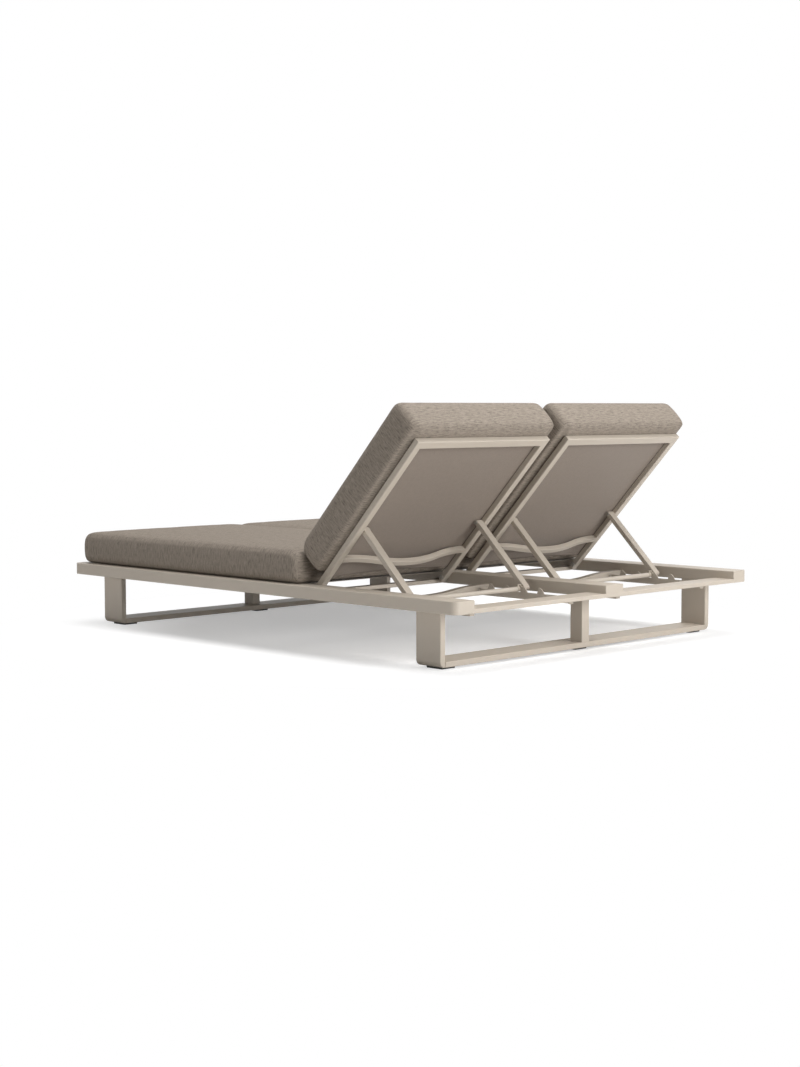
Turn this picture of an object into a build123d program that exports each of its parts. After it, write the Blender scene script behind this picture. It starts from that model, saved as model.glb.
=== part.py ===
from build123d import *
import math
import os

# Double chaise lounger: two bays side by side on one low frame, each with a
# seat cushion and a backrest that is raised in steps on a folding prop.
# +Y points to the head end, +X to the sitter's left, +Z up. The origin is on
# the ground under the middle of the frame.

# Platform
LENGTH = 2000.0
HALF_WIDTH = 778.0
RAIL_WIDTH = 86.0
CENTRE_RAIL_HALF = 46.0
RAIL_BOTTOM = 188.8
RAIL_HEIGHT = 41.8
RAIL_WALL = 2.5
RAIL_EDGE = 3.0
RAIL_CORNER = 25.0
PLUG_DEPTH = 30.0
PLUG_FIT = 0.05
CROSSBAR_DEPTH = 83.7
CROSSBAR_HEIGHT = 13.8
BAR_EDGE = 2.0

# Sled legs
POST_WIDTH = 23.0
SLED_DEPTH = 108.2
SLED_BAR_BOTTOM = 7.7
SLED_BAR_HEIGHT = 18.5
SLED_CORNER = 20.0
SLED_EDGE = 2.0
HEAD_SLED_INSET = 123.3
FOOT_SLED_INSET = 105.3
CENTRE_POST_WIDTH = 38.5
CENTRE_POST_DEPTH = 52.0
GLIDE_WIDTH = 62.0
GLIDE_DEPTH = 72.0
GLIDE_EDGE = 6.0
GLIDE_INSET = 4.0

# Stretchers between the rails
STRETCHER_DEPTH = 28.0
STRETCHER_HEIGHT = 21.0
STRETCHER_DROP = 28.1
STRETCHER_FLAT = 56.0
STRETCHER_SAG = 17.5
RACK_STRETCHER_REACH = 193.5
FOOT_STRETCHER_INSET = 400.0
SEAT_STRETCHER_PITCH = 400.0
SEAT_BAR_GAP = 25.5
SEAT_BAR_DEPTH = 34.0

# Seat sling and seat cushion
SEAT_SLING_THICKNESS = 1.4
SEAT_SLING_DROP = 0.4
SEAT_SLING_INSET = 88.0
SEAT_CUSHION_INNER = 1.6
SEAT_CUSHION_SIDE_INSET = 21.0
SEAT_CUSHION_FOOT_INSET = 14.0
SEAT_CUSHION_GAP = 21.5
SEAT_CUSHION_LIFT = 0.4
SEAT_CUSHION_THICKNESS = 115.0
SEAT_CUSHION_CROWN_RISE = 7.0
SEAT_CUSHION_EDGE = 37.0
SEAT_CUSHION_LOWER_EDGE = 34.0
SEAT_CUSHION_CORNER = 38.0
CUSHION_BULGE = 4.0
CUSHION_MEETING_CORNER = 22.0

# Backrest frame
PIVOT_FROM_HEAD = 727.5
PIVOT_DROP = 17.4
BACK_ANGLE = 46.8
TUBE_DEPTH = 21.0
TUBE_WIDTH = 27.0
TUBE_WALL = 2.0
TUBE_EDGE = 3.0
SIDE_GAP = 2.5
TUBE_LOWER_REACH = 16.0
TUBE_TOP_REACH = 694.6
TOP_TUBE_HEIGHT = 30.5
TUBE_PLUG_DEPTH = 10.0
BOW_REACH = 146.6
BOW_HEIGHT = 20.0
BOW_RISE = 35.5
BOW_DEPTH = 18.4
SLING_FRONT = 9.9
SLING_THICKNESS = 1.0
SLING_FOOT = 45.6
SLING_FOOT_ARCH = 12.0

# Backrest pivot
PIVOT_BOLT = 10.0
PIVOT_HEAD = 18.0
PIVOT_HEAD_HEIGHT = 5.0
PIVOT_NUT = 18.0
PIVOT_NUT_HEIGHT = 7.0
RUNNING_CLEARANCE = 0.05
AXIAL_CLEARANCE = 0.2
WASHER_DIAMETER = 22.0

# Folding prop
PROP_PIVOT_REACH = 283.2
PROP_ANGLE = 44.6
LEG_WIDTH = 29.0
LEG_HEIGHT = 17.0
LEG_GAP = 1.1
LEG_FLAT_EDGE = 1.2
ROD_REACH = 303.5
ROD_DROP = 6.4
ROD_DIAMETER = 16.4
SLEEVE_DIAMETER = 18.5
SLEEVE_LENGTH = 25.0
PROP_BOLT = 8.0
PROP_HEAD = 14.0
PROP_HEAD_HEIGHT = 4.0

# Guide slot where each sleeve straddles its rack plate
SLOT_SIDE_CLEARANCE = 1.0
BRIDGE_UNDERSIDE = 13.0
BRIDGE_TOP = 16.0
BRIDGE_HALF_WIDTH = 3.0
BRIDGE_INSET = 3.0
SLOT_DEPTH = 12.0

# Racks
RACK_INSET = 10.4
RACK_THICKNESS = 3.2
RACK_HEIGHT = 23.5
RACK_FLOOR_RISE = 2.5
TOOTH_HEIGHT = 19.2
TOOTH_PITCH = 75.0
TOOTH_COUNT = 4
REST_TOOTH = 2
ROD_TOOTH_CLEARANCE = 2.2
TOOTH_BASE = 31.0
TOOTH_LEAN = 7.5
TOOTH_TIP = 6.0
TOOTH_SHOULDER = 22.0
TOOTH_SHOULDER_HEIGHT = 13.5
FLANGE_WIDTH = 18.0
FLANGE_THICKNESS = 3.0
FLANGE_DROP = 1.1
SCREW_DIAMETER = 5.0
SCREW_HEAD = 9.0
SCREW_HEAD_HEIGHT = 2.2
SCREW_LENGTH = 10.0
SCREW_SPACING = 7.4

# Back cushion
BACK_CUSHION_OVERHANG = 32.0
BACK_CUSHION_FOOT = 73.6
BACK_CUSHION_HEAD_REACH = 51.4
BACK_CUSHION_LIFT = 0.4
BACK_CUSHION_MARGIN_LIFT = 1.0
BACK_CUSHION_THICKNESS = 131.6
BACK_CUSHION_CROWN_RISE = 6.0
BACK_CUSHION_STEP = 8.0
BACK_CUSHION_STEP_GAP = 1.2
BACK_CUSHION_EDGE = 36.0
BACK_CUSHION_REAR_EDGE = 30.0
BACK_CUSHION_CORNER = 40.0

OVERRUN = 5.0

# Derived positions
REST = math.radians(BACK_ANGLE)
LEAN = math.radians(PROP_ANGLE)
RAIL_TOP = RAIL_BOTTOM + RAIL_HEIGHT
BAY_INNER = CENTRE_RAIL_HALF
BAY_OUTER = HALF_WIDTH - RAIL_WIDTH
BAY_MIDDLE = (BAY_INNER + BAY_OUTER) / 2
TUBE_INNER_EDGE = BAY_INNER + SIDE_GAP
TUBE_OUTER_EDGE = BAY_OUTER - SIDE_GAP
SLING_INNER = TUBE_INNER_EDGE + TUBE_WIDTH
SLING_OUTER = TUBE_OUTER_EDGE - TUBE_WIDTH
TOP_TUBE_LOWER = TUBE_TOP_REACH - TOP_TUBE_HEIGHT
LEG_INNER = SLING_INNER + LEG_GAP
ROD_START = LEG_INNER + LEG_WIDTH
TUBE_HALF = TUBE_DEPTH / 2
CROSSBAR_TOP = RAIL_BOTTOM + CROSSBAR_HEIGHT
SLED_BAR_TOP = SLED_BAR_BOTTOM + SLED_BAR_HEIGHT
HEAD_SLED_BACK = LENGTH / 2 - HEAD_SLED_INSET
FOOT_SLED_BACK = FOOT_SLED_INSET + SLED_DEPTH - LENGTH / 2
PIVOT_Y = LENGTH / 2 - PIVOT_FROM_HEAD
PIVOT_Z = RAIL_TOP - PIVOT_DROP
STRETCHER_TOP = RAIL_TOP - STRETCHER_DROP
RACK_STRETCHER_FRONT = PIVOT_Y + RACK_STRETCHER_REACH
STRETCHER_BACK = RACK_STRETCHER_FRONT + STRETCHER_DEPTH
CROSSBAR_FRONT = LENGTH / 2 - CROSSBAR_DEPTH
SEAT_BAR_BACK = PIVOT_Y - SEAT_BAR_GAP
SEAT_SLING_FOOT = SEAT_SLING_INSET - LENGTH / 2
SEAT_CUSHION_OUTER = HALF_WIDTH - SEAT_CUSHION_SIDE_INSET
SEAT_CUSHION_FOOT = SEAT_CUSHION_FOOT_INSET - LENGTH / 2
SEAT_CUSHION_HEAD = PIVOT_Y - SEAT_CUSHION_GAP
SEAT_CUSHION_BOTTOM = RAIL_TOP + SEAT_CUSHION_LIFT
SEAT_CUSHION_EDGE_TOP = SEAT_CUSHION_BOTTOM + SEAT_CUSHION_THICKNESS
SEAT_CUSHION_CROWN = SEAT_CUSHION_EDGE_TOP + SEAT_CUSHION_CROWN_RISE
BACK_CUSHION_INNER = BAY_INNER - BACK_CUSHION_OVERHANG
BACK_CUSHION_OUTER = BAY_OUTER + BACK_CUSHION_OVERHANG
BACK_CUSHION_HEAD = TUBE_TOP_REACH + BACK_CUSHION_HEAD_REACH
BACK_CUSHION_UNDERSIDE = TUBE_HALF + BACK_CUSHION_LIFT
BACK_CUSHION_MARGIN = PIVOT_DROP + BACK_CUSHION_MARGIN_LIFT
BACK_CUSHION_EDGE_FRONT = BACK_CUSHION_UNDERSIDE + BACK_CUSHION_THICKNESS
BACK_CUSHION_FRONT = BACK_CUSHION_EDGE_FRONT + BACK_CUSHION_CROWN_RISE

# Backrest frame of reference: x across, y up the backrest, z towards the sitter
BACK = Plane(
    origin=(0, PIVOT_Y, PIVOT_Z),
    x_dir=(1, 0, 0),
    z_dir=(0, -math.sin(REST), math.cos(REST)),
)
# Section across the backrest: x across, y towards the rear
BACK_SECTION = Plane(
    origin=(0, PIVOT_Y, PIVOT_Z),
    x_dir=(1, 0, 0),
    z_dir=(0, math.cos(REST), math.sin(REST)),
)
PROP_PIVOT_Y = PIVOT_Y + PROP_PIVOT_REACH * math.cos(REST)
PROP_PIVOT_Z = PIVOT_Z + PROP_PIVOT_REACH * math.sin(REST)
LEG_END_Y = PROP_PIVOT_Y + ROD_REACH * math.cos(LEAN)
LEG_END_Z = PROP_PIVOT_Z - ROD_REACH * math.sin(LEAN)
ROD_Y = LEG_END_Y - ROD_DROP * math.sin(LEAN)
ROD_Z = LEG_END_Z - ROD_DROP * math.cos(LEAN)
RACK_PLANE = ROD_START + RACK_INSET
RACK_FLOOR = RAIL_BOTTOM + RACK_FLOOR_RISE
RACK_BOTTOM = RACK_FLOOR - RACK_HEIGHT
FLANGE_TOP = CROSSBAR_TOP - FLANGE_DROP
# The rod lies against the sloping face of one tooth at rest
ROD_FACE_Y = ROD_Y + ROD_DIAMETER / 2 + ROD_TOOTH_CLEARANCE
TOOTH_SLOPE_SHARE = (ROD_Z - RACK_FLOOR) / TOOTH_HEIGHT
TOOTH_FIRST = ROD_FACE_Y - TOOTH_LEAN * TOOTH_SLOPE_SHARE - TOOTH_PITCH * REST_TOOTH

os.makedirs("parts", exist_ok=True)


def save(piece, label):
    piece.part.label = label
    export_step(piece.part, f"parts/{label}.step")


# Rectangular tube or bar with rounded long edges, from y0 to y1
def bar_along_y(x0, x1, y0, y1, z0, z1, edge, mode=Mode.ADD):
    with BuildSketch(Plane.XZ.offset(-y0)) as section:
        with Locations(((x0 + x1) / 2, (z0 + z1) / 2)):
            RectangleRounded(x1 - x0, z1 - z0, edge)
    extrude(section.sketch, amount=-(y1 - y0), mode=mode)


# Bar with rounded long edges, from x0 to x1
def bar_along_x(x0, x1, y0, y1, z0, z1, edge, mode=Mode.ADD):
    with BuildSketch(Plane.YZ.offset(x0)) as section:
        with Locations(((y0 + y1) / 2, (z0 + z1) / 2)):
            RectangleRounded(y1 - y0, z1 - z0, edge)
    extrude(section.sketch, amount=x1 - x0, mode=mode)


# Bar with rounded upright edges, from z0 to z1
def bar_along_z(x0, x1, y0, y1, z0, z1, edge, mode=Mode.ADD):
    with BuildSketch(Plane.XY.offset(z0)) as section:
        with Locations(((x0 + x1) / 2, (y0 + y1) / 2)):
            RectangleRounded(x1 - x0, y1 - y0, edge)
    extrude(section.sketch, amount=z1 - z0, mode=mode)


# Square-edged block
def block(x0, x1, y0, y1, z0, z1, mode=Mode.ADD):
    with BuildSketch(Plane.XY.offset(z0)) as section:
        with Locations(((x0 + x1) / 2, (y0 + y1) / 2)):
            Rectangle(x1 - x0, y1 - y0)
    extrude(section.sketch, amount=z1 - z0, mode=mode)


# Round pin along X at a point of the YZ plane
def pin(x0, x1, y, z, diameter, mode=Mode.ADD):
    with BuildSketch(Plane.YZ.offset(x0)) as section:
        with Locations((y, z)):
            Circle(diameter / 2)
    extrude(section.sketch, amount=x1 - x0, mode=mode)


# Keeps only what lies inside the plan outline of an outer rail, whose two
# outer corners are rounded
def trim_outer_rail_ends():
    with BuildSketch(Plane.XY.offset(RAIL_BOTTOM - OVERRUN)) as plan:
        with Locations(((BAY_OUTER + HALF_WIDTH) / 2, 0)):
            Rectangle(HALF_WIDTH - BAY_OUTER, LENGTH)
        fillet(plan.vertices().group_by(Axis.X)[-1], RAIL_CORNER)
    extrude(plan.sketch, amount=RAIL_HEIGHT + OVERRUN * 2, mode=Mode.INTERSECT)


# Plugs that close both ends of a rail tube
def rail_plugs(x0, x1):
    inset = RAIL_WALL + PLUG_FIT
    for y0 in (-LENGTH / 2, LENGTH / 2 - PLUG_DEPTH):
        bar_along_y(
            x0 + inset,
            x1 - inset,
            y0,
            y0 + PLUG_DEPTH,
            RAIL_BOTTOM + inset,
            RAIL_TOP - inset,
            RAIL_EDGE / 2,
        )


# Bowed bar: leaves both ends square and bows by rise in between, in two
# tangent arcs each side. Outline in the plane of the bow.
def bowed_outline(x0, x1, flat, rise, base, depth):
    middle = (x0 + x1) / 2
    start = x0 + flat
    end = x1 - flat
    with BuildLine() as lines:
        for level in (base, base + depth):
            if flat > 0:
                Line((x0, level), (start, level))
                Line((end, level), (x1, level))
            half_way = level + rise / 2
            for point, corner in ((start, (start + middle) / 2), (end, (end + middle) / 2)):
                inward = 1 if point < middle else -1
                TangentArc((point, level), (corner, half_way), tangent=(inward, 0))
                TangentArc((middle, level + rise), (corner, half_way), tangent=(-inward, 0))
        Line((x0, base), (x0, base + depth))
        Line((x1, base), (x1, base + depth))
    return lines


def stretcher(front):
    lines = bowed_outline(
        BAY_INNER,
        BAY_OUTER,
        STRETCHER_FLAT,
        -STRETCHER_SAG,
        STRETCHER_TOP - STRETCHER_HEIGHT,
        STRETCHER_HEIGHT,
    )
    with BuildSketch(Plane.XZ.offset(-front)) as section:
        make_face(lines.line.edges())
    extrude(section.sketch, amount=-STRETCHER_DEPTH)
    long_edges = edges().filter_by(lambda edge: abs((edge @ 0).Y - (edge @ 1).Y) < PLUG_FIT)
    fillet(long_edges.filter_by(GeomType.LINE, reverse=True), BAR_EDGE)


# Cushion profile: bulged ends, a crowned top and rounded corners
def cushion_profile(plane, x0, x1, bottom, edge_top, crown, lower_edge, upper_edge):
    middle = (bottom + edge_top) / 2
    low_start = (x0 + CUSHION_BULGE, bottom)
    low_end = (x1 - CUSHION_BULGE, bottom)
    top_start = (x0 + CUSHION_BULGE, edge_top)
    top_end = (x1 - CUSHION_BULGE, edge_top)
    with BuildSketch(plane) as profile:
        with BuildLine():
            Line(low_start, low_end)
            ThreePointArc(low_end, (x1, middle), top_end)
            ThreePointArc(top_end, ((x0 + x1) / 2, crown), top_start)
            ThreePointArc(top_start, (x0, middle), low_start)
        make_face()
        fillet(profile.vertices().sort_by(Axis.Y)[2:], upper_edge)
        fillet(profile.vertices().sort_by(Axis.Y)[:2], lower_edge)
    return profile.sketch


# Cushion on a frame of reference whose z is its thickness: a profile across
# it, cut to a profile along it and to a plan outline with rounded corners,
# whose radii are given for the y0 end and the y1 end
def cushion(frame, x0, x1, y0, y1, heights, edge_radii, corner_radii):
    length = y1 - y0
    width = x1 - x0
    bottom, edge_top, crown = heights
    across = Plane(origin=frame.origin, x_dir=frame.x_dir, z_dir=-frame.y_dir).offset(-y0)
    section = cushion_profile(across, x0, x1, bottom, edge_top, crown, *edge_radii)
    extrude(section, amount=-length)
    along = Plane(origin=frame.origin, x_dir=frame.y_dir, z_dir=frame.x_dir).offset(x0)
    side = cushion_profile(along, y0, y1, bottom, edge_top, crown, *edge_radii)
    extrude(side, amount=width, mode=Mode.INTERSECT)
    with BuildSketch(frame.offset(bottom)) as outline:
        with Locations(((x0 + x1) / 2, (y0 + y1) / 2)):
            Rectangle(width, length)
        corners = outline.vertices().group_by(Axis(frame.origin, frame.y_dir))
        fillet(corners[0], corner_radii[0])
        fillet(corners[-1], corner_radii[1])
    extrude(outline.sketch, amount=crown - bottom, mode=Mode.INTERSECT)


# Step along each long side of a back cushion's rear face, so that the cushion
# sinks into its bay and its margins lie over the rails
def cushion_margins():
    across = Plane(origin=BACK.origin, x_dir=BACK.x_dir, z_dir=-BACK.y_dir)
    low = BACK_CUSHION_UNDERSIDE - OVERRUN
    for edge_x, face_x, inward in (
        (BACK_CUSHION_INNER, BAY_INNER, 1),
        (BACK_CUSHION_OUTER, BAY_OUTER, -1),
    ):
        upper_x = face_x + inward * BACK_CUSHION_STEP_GAP
        lower_x = upper_x + inward * BACK_CUSHION_STEP
        with BuildSketch(across.offset(-BACK_CUSHION_FOOT + OVERRUN)) as step:
            with BuildLine():
                Polyline(
                    (edge_x - inward * OVERRUN, low),
                    (lower_x, low),
                    (lower_x, BACK_CUSHION_UNDERSIDE),
                    (upper_x, BACK_CUSHION_MARGIN),
                    (edge_x - inward * OVERRUN, BACK_CUSHION_MARGIN),
                    close=True,
                )
            make_face()
        reach = BACK_CUSHION_HEAD - BACK_CUSHION_FOOT + OVERRUN * 2
        extrude(step.sketch, amount=-reach, mode=Mode.SUBTRACT)


# Toothed plate that the prop's rod drops into, with a turned flange at each end
def rack(plane_x, turn):
    floor_end = CROSSBAR_FRONT
    with BuildSketch(Plane.YZ.offset(plane_x - RACK_THICKNESS / 2)) as outline:
        with BuildLine():
            Line((STRETCHER_BACK, RACK_FLOOR), (STRETCHER_BACK, RACK_BOTTOM))
            Line((STRETCHER_BACK, RACK_BOTTOM), (floor_end, RACK_BOTTOM))
            Line((floor_end, RACK_BOTTOM), (floor_end, RACK_FLOOR))
            previous = STRETCHER_BACK
            for tooth in range(TOOTH_COUNT):
                base = TOOTH_FIRST + tooth * TOOTH_PITCH
                tip = RACK_FLOOR + TOOTH_HEIGHT
                Line((previous, RACK_FLOOR), (base, RACK_FLOOR))
                Line((base, RACK_FLOOR), (base + TOOTH_LEAN, tip))
                Line((base + TOOTH_LEAN, tip), (base + TOOTH_LEAN + TOOTH_TIP, tip))
                ThreePointArc(
                    (base + TOOTH_LEAN + TOOTH_TIP, tip),
                    (base + TOOTH_SHOULDER, RACK_FLOOR + TOOTH_SHOULDER_HEIGHT),
                    (base + TOOTH_BASE, RACK_FLOOR),
                )
                previous = base + TOOTH_BASE
            Line((previous, RACK_FLOOR), (floor_end, RACK_FLOOR))
        make_face()
    extrude(outline.sketch, amount=RACK_THICKNESS)
    near = plane_x + turn * RACK_THICKNESS / 2
    far = near + turn * FLANGE_WIDTH
    low_x = min(near, far)
    high_x = max(near, far)
    block(low_x, high_x, STRETCHER_BACK, STRETCHER_BACK + FLANGE_THICKNESS, RACK_BOTTOM, RACK_FLOOR)
    block(low_x, high_x, floor_end - FLANGE_THICKNESS, floor_end, RACK_BOTTOM, FLANGE_TOP)
    for y, z in flange_screws():
        with BuildSketch(Plane.XZ.offset(-y + FLANGE_THICKNESS * 2)) as hole:
            with Locations(((near + far) / 2, z)):
                Circle(SCREW_DIAMETER / 2)
        extrude(hole.sketch, amount=-FLANGE_THICKNESS * 4, mode=Mode.SUBTRACT)


# Face position and height of each flange screw
def flange_screws():
    return (
        (STRETCHER_BACK, RACK_FLOOR - SCREW_SPACING / 2),
        (CROSSBAR_FRONT, RAIL_BOTTOM + CROSSBAR_HEIGHT / 2),
    )


# Screws that hold both flanges of a rack
def rack_screws(plane_x, turn):
    middle = plane_x + turn * (RACK_THICKNESS + FLANGE_WIDTH) / 2
    for (y, z), out in zip(flange_screws(), (1, -1)):
        face = y + out * FLANGE_THICKNESS
        with BuildSketch(Plane.XZ.offset(-face)) as head:
            with Locations((middle, z)):
                Circle(SCREW_HEAD / 2)
        extrude(head.sketch, amount=-out * SCREW_HEAD_HEIGHT)
        with BuildSketch(Plane.XZ.offset(-face)) as shank:
            with Locations((middle, z)):
                Circle(SCREW_DIAMETER / 2)
        extrude(shank.sketch, amount=out * SCREW_LENGTH)


# Threaded holes for the flange screws in a stretcher or a crossbar
def screw_holes(y, z, out):
    for plane_x, turn in RACKS:
        middle = plane_x + turn * (RACK_THICKNESS + FLANGE_WIDTH) / 2
        with BuildSketch(Plane.XZ.offset(-y)) as hole:
            with Locations((middle, z)):
                Circle(SCREW_DIAMETER / 2)
        extrude(hole.sketch, amount=out * (SCREW_LENGTH - FLANGE_THICKNESS), mode=Mode.SUBTRACT)


# Side tube of a backrest, cut off at 45 degrees where it meets the top tube
def side_tube(outer_edge, inward):
    low_x = min(outer_edge, outer_edge + inward * TUBE_WIDTH)
    high_x = max(outer_edge, outer_edge + inward * TUBE_WIDTH)
    inner_edge = outer_edge + inward * TUBE_WIDTH
    reach = TUBE_TOP_REACH + TUBE_LOWER_REACH
    with BuildSketch(BACK_SECTION.offset(-TUBE_LOWER_REACH)) as section:
        with Locations(((low_x + high_x) / 2, 0)):
            RectangleRounded(TUBE_WIDTH, TUBE_DEPTH, TUBE_EDGE)
            Rectangle(TUBE_WIDTH - TUBE_WALL * 2, TUBE_DEPTH - TUBE_WALL * 2, mode=Mode.SUBTRACT)
    extrude(section.sketch, amount=reach)
    with BuildSketch(BACK.offset(-TUBE_DEPTH)) as mitre:
        with BuildLine():
            Polyline(
                (outer_edge, -TUBE_LOWER_REACH),
                (inner_edge, -TUBE_LOWER_REACH),
                (inner_edge, TOP_TUBE_LOWER),
                (outer_edge, TUBE_TOP_REACH),
                close=True,
            )
        make_face()
    extrude(mitre.sketch, amount=TUBE_DEPTH * 2, mode=Mode.INTERSECT)
    bore = PIVOT_BOLT + RUNNING_CLEARANCE * 2
    pin(low_x - OVERRUN, high_x + OVERRUN, PIVOT_Y, PIVOT_Z, bore, mode=Mode.SUBTRACT)
    wall_x = inner_edge - OVERRUN
    pin(wall_x, wall_x + OVERRUN * 2, PROP_PIVOT_Y, PROP_PIVOT_Z, PROP_BOLT, mode=Mode.SUBTRACT)


# Leg of a prop: a flat bar with round ends, bored for its bolt
def prop_leg(x0):
    with BuildSketch(Plane.YZ.offset(x0)) as outline:
        with Locations(((PROP_PIVOT_Y + LEG_END_Y) / 2, (PROP_PIVOT_Z + LEG_END_Z) / 2)):
            SlotCenterToCenter(ROD_REACH, LEG_HEIGHT, rotation=-PROP_ANGLE)
    extrude(outline.sketch, amount=LEG_WIDTH)
    chamfer(edges().filter_by(Plane.YZ), LEG_FLAT_EDGE)
    bore = PROP_BOLT + RUNNING_CLEARANCE * 2
    pin(x0 - OVERRUN, x0 + LEG_WIDTH + OVERRUN, PROP_PIVOT_Y, PROP_PIVOT_Z, bore, mode=Mode.SUBTRACT)


# Slot in a sleeve and in the rod, open below, that the rack plate runs in
def guide_slot(plane_x):
    half = RACK_THICKNESS / 2 + SLOT_SIDE_CLEARANCE
    block(
        plane_x - half,
        plane_x + half,
        ROD_Y - SLEEVE_DIAMETER,
        ROD_Y + SLEEVE_DIAMETER,
        ROD_Z - SLOT_DEPTH,
        ROD_Z + BRIDGE_UNDERSIDE,
        mode=Mode.SUBTRACT,
    )


# Sleeve on the rod, with the bridge that joins its two halves over the slot.
# Its bore is cut before the next sleeve is made.
def sleeve(leg_face, inward, plane_x):
    far = leg_face + inward * SLEEVE_LENGTH
    low_x = min(leg_face, far)
    high_x = max(leg_face, far)
    pin(low_x, high_x, ROD_Y, ROD_Z, SLEEVE_DIAMETER)
    block(
        low_x + BRIDGE_INSET,
        high_x - BRIDGE_INSET,
        ROD_Y - BRIDGE_HALF_WIDTH,
        ROD_Y + BRIDGE_HALF_WIDTH,
        ROD_Z,
        ROD_Z + BRIDGE_TOP,
    )
    pin(low_x - OVERRUN, high_x + OVERRUN, ROD_Y, ROD_Z, ROD_DIAMETER, mode=Mode.SUBTRACT)
    guide_slot(plane_x)


# Both racks of a bay: plane, and the side to which the flanges turn
RACKS = ((RACK_PLANE, 1), (BAY_MIDDLE * 2 - RACK_PLANE, -1))
# Rail faces of a bay, and the direction from each into the bay
RAIL_FACES = ((BAY_INNER, 1), (BAY_OUTER, -1))

for hand in ("left", "right"):
    mirrored = hand == "right"

    # Outer rail, with a threaded insert's hole for the backrest bolt
    with BuildPart() as rail:
        bar_along_y(BAY_OUTER, HALF_WIDTH, -LENGTH / 2, LENGTH / 2, RAIL_BOTTOM, RAIL_TOP, RAIL_EDGE)
        trim_outer_rail_ends()
        block(
            BAY_OUTER + RAIL_WALL,
            HALF_WIDTH - RAIL_WALL,
            -LENGTH / 2,
            LENGTH / 2,
            RAIL_BOTTOM + RAIL_WALL,
            RAIL_TOP - RAIL_WALL,
            mode=Mode.SUBTRACT,
        )
        pin(BAY_OUTER - OVERRUN, BAY_OUTER + OVERRUN, PIVOT_Y, PIVOT_Z, PIVOT_BOLT, mode=Mode.SUBTRACT)
        if mirrored:
            mirror(about=Plane.YZ, mode=Mode.REPLACE)
    save(rail, f"rail_{hand}")

    # Flat crossbars flush with the rail ends, and the bar behind the seat
    with BuildPart() as head_bar:
        bar_along_x(BAY_INNER, BAY_OUTER, CROSSBAR_FRONT, LENGTH / 2, RAIL_BOTTOM, CROSSBAR_TOP, BAR_EDGE)
        screw_holes(CROSSBAR_FRONT, RAIL_BOTTOM + CROSSBAR_HEIGHT / 2, -1)
        if mirrored:
            mirror(about=Plane.YZ, mode=Mode.REPLACE)
    save(head_bar, f"crossbar_head_{hand}")

    with BuildPart() as foot_bar:
        bar_along_x(
            BAY_INNER, BAY_OUTER, -LENGTH / 2, -CROSSBAR_FRONT, RAIL_BOTTOM, CROSSBAR_TOP, BAR_EDGE
        )
        if mirrored:
            mirror(about=Plane.YZ, mode=Mode.REPLACE)
    save(foot_bar, f"crossbar_foot_{hand}")

    with BuildPart() as seat_bar:
        bar_along_x(
            BAY_INNER,
            BAY_OUTER,
            SEAT_BAR_BACK - SEAT_BAR_DEPTH,
            SEAT_BAR_BACK,
            RAIL_BOTTOM,
            CROSSBAR_TOP,
            BAR_EDGE,
        )
        if mirrored:
            mirror(about=Plane.YZ, mode=Mode.REPLACE)
    save(seat_bar, f"crossbar_seat_{hand}")

    # Bowed stretcher that carries the racks
    with BuildPart() as rack_stretcher:
        stretcher(RACK_STRETCHER_FRONT)
        screw_holes(STRETCHER_BACK, RACK_FLOOR - SCREW_SPACING / 2, 1)
        if mirrored:
            mirror(about=Plane.YZ, mode=Mode.REPLACE)
    save(rack_stretcher, f"stretcher_rack_{hand}")

    # Seat sling, held in the rails and level with their tops
    with BuildPart() as seat_sling:
        block(
            BAY_INNER,
            BAY_OUTER,
            SEAT_SLING_FOOT,
            SEAT_BAR_BACK,
            RAIL_TOP - SEAT_SLING_DROP - SEAT_SLING_THICKNESS,
            RAIL_TOP - SEAT_SLING_DROP,
        )
        if mirrored:
            mirror(about=Plane.YZ, mode=Mode.REPLACE)
    save(seat_sling, f"seat_sling_{hand}")

    with BuildPart() as seat_cushion:
        cushion(
            Plane.XY,
            SEAT_CUSHION_INNER,
            SEAT_CUSHION_OUTER,
            SEAT_CUSHION_FOOT,
            SEAT_CUSHION_HEAD,
            (SEAT_CUSHION_BOTTOM, SEAT_CUSHION_EDGE_TOP, SEAT_CUSHION_CROWN),
            (SEAT_CUSHION_LOWER_EDGE, SEAT_CUSHION_EDGE),
            (SEAT_CUSHION_CORNER, CUSHION_MEETING_CORNER),
        )
        if mirrored:
            mirror(about=Plane.YZ, mode=Mode.REPLACE)
    save(seat_cushion, f"seat_cushion_{hand}")

    # Sled legs: an upright under the outer rail at each end, with the rounded
    # corner of the sled at its foot
    for sled, back in (("head", HEAD_SLED_BACK), ("foot", FOOT_SLED_BACK)):
        with BuildPart() as post:
            with BuildSketch(Plane.XZ.offset(-back)) as outline:
                with Locations((BAY_OUTER + POST_WIDTH / 2, (SLED_BAR_BOTTOM + RAIL_BOTTOM) / 2)):
                    Rectangle(POST_WIDTH, RAIL_BOTTOM - SLED_BAR_BOTTOM)
                fillet(outline.vertices().sort_by(Axis.Y)[:2].sort_by(Axis.X)[-1:], SLED_CORNER)
            extrude(outline.sketch, amount=SLED_DEPTH)
            chamfer(edges().filter_by(Axis.Z), SLED_EDGE)
            if mirrored:
                mirror(about=Plane.YZ, mode=Mode.REPLACE)
        save(post, f"sled_{sled}_post_{hand}")

    # Backrest frame
    for place, edge_x, inward in (
        ("inner", TUBE_INNER_EDGE, 1),
        ("outer", TUBE_OUTER_EDGE, -1),
    ):
        with BuildPart() as tube:
            side_tube(edge_x, inward)
            if mirrored:
                mirror(about=Plane.YZ, mode=Mode.REPLACE)
        save(tube, f"back_{hand}_side_{place}")

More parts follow.
